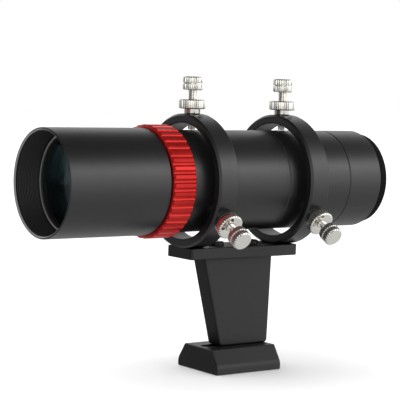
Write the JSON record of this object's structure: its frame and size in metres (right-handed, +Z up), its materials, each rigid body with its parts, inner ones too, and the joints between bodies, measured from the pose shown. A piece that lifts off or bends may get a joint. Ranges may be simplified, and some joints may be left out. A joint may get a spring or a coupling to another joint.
{
  "type": "finder scope",
  "caption": "Straight-through finder scope with a focusing objective, held in two rings by radial thumbscrews on a stalk with a dovetail foot.",
  "frame": {"origin": "centre of the foot's underside", "axes": "+Z up, +X along the optical axis towards the eyepiece end, so the objective looks along -X; +Y is to the user's right as they look through the eyepiece"},
  "size_m": [0.214, 0.102, 0.1607],
  "materials": {
    "black_anodised": "satin black anodising over a fine turned or bead-blasted surface",
    "matt_black_inner": "matt black anodising",
    "red_anodised": "bright red anodising, semi-gloss",
    "black_oxide_steel": "black oxide",
    "collet_brass": "plain turned",
    "seal_rubber": "matt",
    "coated_glass": "polished, green anti-reflection coating",
    "bright_plated": "bright nickel plate, satin end faces",
    "nylon": "natural nylon"
  },
  "bodies": {
    "bracket": {"dovetail_foot": "black_anodised", "foot_bolts": "black_oxide_steel", "stalk": "black_anodised", "ring_bar": "black_anodised", "bar_bolts": "black_oxide_steel", "ring_bolts": "black_oxide_steel", "front_ring": "black_anodised", "rear_ring": "black_anodised"},
    "tube": {"front_tube": "black_anodised", "middle_tube": "black_anodised", "rear_housing": "black_anodised", "light_baffle": "matt_black_inner", "eyepiece_holder": "black_anodised", "clamp_collet": "collet_brass"},
    "o_ring": {"focus_o_ring": "seal_rubber"},
    "barrel": {"objective_barrel": "black_anodised", "lens_cell": "matt_black_inner", "lens_retaining_ring": "matt_black_inner", "crown_lens": "coated_glass", "lens_spacer": "matt_black_inner", "flint_lens": "coated_glass"},
    "lock_ring": {"focus_lock_ring": "red_anodised"},
    "eyepiece_lock": {"eyepiece_lock_ring": "black_anodised"},
    "front_top_tip": {"front_top_tip": "nylon"},
    "front_top_screw": {"front_top_screw": "bright_plated"},
    "front_top_lock_nut": {"front_top_lock_nut": "bright_plated"},
    "front_left_tip": {"front_left_tip": "nylon"},
    "front_left_screw": {"front_left_screw": "bright_plated"},
    "front_left_lock_nut": {"front_left_lock_nut": "bright_plated"},
    "front_right_tip": {"front_right_tip": "nylon"},
    "front_right_screw": {"front_right_screw": "bright_plated"},
    "front_right_lock_nut": {"front_right_lock_nut": "bright_plated"},
    "rear_top_tip": {"rear_top_tip": "nylon"},
    "rear_top_screw": {"rear_top_screw": "bright_plated"},
    "rear_top_lock_nut": {"rear_top_lock_nut": "bright_plated"},
    "rear_left_tip": {"rear_left_tip": "nylon"},
    "rear_left_screw": {"rear_left_screw": "bright_plated"},
    "rear_left_lock_nut": {"rear_left_lock_nut": "bright_plated"},
    "rear_right_tip": {"rear_right_tip": "nylon"},
    "rear_right_screw": {"rear_right_screw": "bright_plated"},
    "rear_right_lock_nut": {"rear_right_lock_nut": "bright_plated"}
  },
  "joints": [
    {"name": "aim_pitch", "type": "hinge", "parent": "bracket", "child": "tube", "pos_m": [-0.0312, 0, 0.1045], "axis": [0, -1, 0], "range_deg": [-2.6, 2.6]},
    {"name": "focus_slide", "type": "slide", "parent": "tube", "child": "o_ring", "axis": [-1, 0, 0], "range_m": [0, 0.006]},
    {"name": "barrel_turn", "type": "hinge", "parent": "o_ring", "child": "barrel", "pos_m": [-0.0842, 0, 0.1045], "axis": [-1, 0, 0], "range_deg": [-1, 2161]},
    {"name": "lock_ring_turn", "type": "hinge", "parent": "tube", "child": "lock_ring", "pos_m": [-0.0554, 0, 0.1045], "axis": [1, 0, 0], "range_deg": [0, 90]},
    {"name": "eyepiece_lock_turn", "type": "hinge", "parent": "tube", "child": "eyepiece_lock", "pos_m": [0.087, 0, 0.1045], "axis": [1, 0, 0], "range_deg": [0, 60]},
    {"name": "front_top_tip_slide", "type": "slide", "parent": "bracket", "child": "front_top_tip", "axis": [0, 0, 1], "range_m": [0, 0.002]},
    {"name": "front_top_screw_turn", "type": "hinge", "parent": "front_top_tip", "child": "front_top_screw", "pos_m": [-0.0312, 0, 0.1565], "axis": [0, 0, 1], "range_deg": [-0.5, 900.5]},
    {"name": "front_top_lock_nut_turn", "type": "hinge", "parent": "bracket", "child": "front_top_lock_nut", "pos_m": [-0.0312, 0, 0.1446], "axis": [0, 0, 1], "range_deg": [0, 180]},
    {"name": "front_left_tip_slide", "type": "slide", "parent": "bracket", "child": "front_left_tip", "axis": [0, -0.866, -0.5], "range_m": [0, 0.002]},
    {"name": "front_left_screw_turn", "type": "hinge", "parent": "front_left_tip", "child": "front_left_screw", "pos_m": [-0.0312, -0.04503, 0.0785], "axis": [0, -0.866, -0.5], "range_deg": [-0.5, 900.5]},
    {"name": "front_left_lock_nut_turn", "type": "hinge", "parent": "bracket", "child": "front_left_lock_nut", "pos_m": [-0.0312, -0.03473, 0.08445], "axis": [0, -0.866, -0.5], "range_deg": [0, 180]},
    {"name": "front_right_tip_slide", "type": "slide", "parent": "bracket", "child": "front_right_tip", "axis": [0, 0.866, -0.5], "range_m": [0, 0.002]},
    {"name": "front_right_screw_turn", "type": "hinge", "parent": "front_right_tip", "child": "front_right_screw", "pos_m": [-0.0312, 0.04503, 0.0785], "axis": [0, 0.866, -0.5], "range_deg": [-0.5, 900.5]},
    {"name": "front_right_lock_nut_turn", "type": "hinge", "parent": "bracket", "child": "front_right_lock_nut", "pos_m": [-0.0312, 0.03473, 0.08445], "axis": [0, 0.866, -0.5], "range_deg": [0, 180]},
    {"name": "rear_top_tip_slide", "type": "slide", "parent": "bracket", "child": "rear_top_tip", "axis": [0, 0, 1], "range_m": [-0.00272, 0.00272]},
    {"name": "rear_top_screw_turn", "type": "hinge", "parent": "rear_top_tip", "child": "rear_top_screw", "pos_m": [0.0312, 0, 0.1565], "axis": [0, 0, 1], "range_deg": [-1225, 1225]},
    {"name": "rear_top_lock_nut_turn", "type": "hinge", "parent": "bracket", "child": "rear_top_lock_nut", "pos_m": [0.0312, 0, 0.1446], "axis": [0, 0, 1], "range_deg": [0, 180]},
    {"name": "rear_left_tip_slide", "type": "slide", "parent": "bracket", "child": "rear_left_tip", "axis": [0, -0.866, -0.5], "range_m": [-0.0014, 0.0014]},
    {"name": "rear_left_screw_turn", "type": "hinge", "parent": "rear_left_tip", "child": "rear_left_screw", "pos_m": [0.0312, -0.04503, 0.0785], "axis": [0, -0.866, -0.5], "range_deg": [-620, 620]},
    {"name": "rear_left_lock_nut_turn", "type": "hinge", "parent": "bracket", "child": "rear_left_lock_nut", "pos_m": [0.0312, -0.03473, 0.08445], "axis": [0, -0.866, -0.5], "range_deg": [0, 180]},
    {"name": "rear_right_tip_slide", "type": "slide", "parent": "bracket", "child": "rear_right_tip", "axis": [0, 0.866, -0.5], "range_m": [-0.0014, 0.0014]},
    {"name": "rear_right_screw_turn", "type": "hinge", "parent": "rear_right_tip", "child": "rear_right_screw", "pos_m": [0.0312, 0.04503, 0.0785], "axis": [0, 0.866, -0.5], "range_deg": [-620, 620]},
    {"name": "rear_right_lock_nut_turn", "type": "hinge", "parent": "bracket", "child": "rear_right_lock_nut", "pos_m": [0.0312, 0.03473, 0.08445], "axis": [0, 0.866, -0.5], "range_deg": [0, 180]}
  ],
  "couplings": [
    {"joint": "barrel_turn", "follows": "focus_slide", "rad_per_m": 6283.2},
    {"joint": "front_top_screw_turn", "follows": "front_top_tip_slide", "rad_per_m": 7854},
    {"joint": "front_left_screw_turn", "follows": "front_left_tip_slide", "rad_per_m": 7854},
    {"joint": "front_right_screw_turn", "follows": "front_right_tip_slide", "rad_per_m": 7854},
    {"joint": "rear_top_screw_turn", "follows": "rear_top_tip_slide", "rad_per_m": 7854},
    {"joint": "rear_left_tip_slide", "follows": "rear_top_tip_slide", "ratio": -0.5},
    {"joint": "rear_left_screw_turn", "follows": "rear_top_tip_slide", "rad_per_m": -3927},
    {"joint": "rear_right_tip_slide", "follows": "rear_top_tip_slide", "ratio": -0.5},
    {"joint": "rear_right_screw_turn", "follows": "rear_top_tip_slide", "rad_per_m": -3927},
    {"joint": "aim_pitch", "follows": "rear_top_tip_slide", "rad_per_m": 16.026}
  ]
}
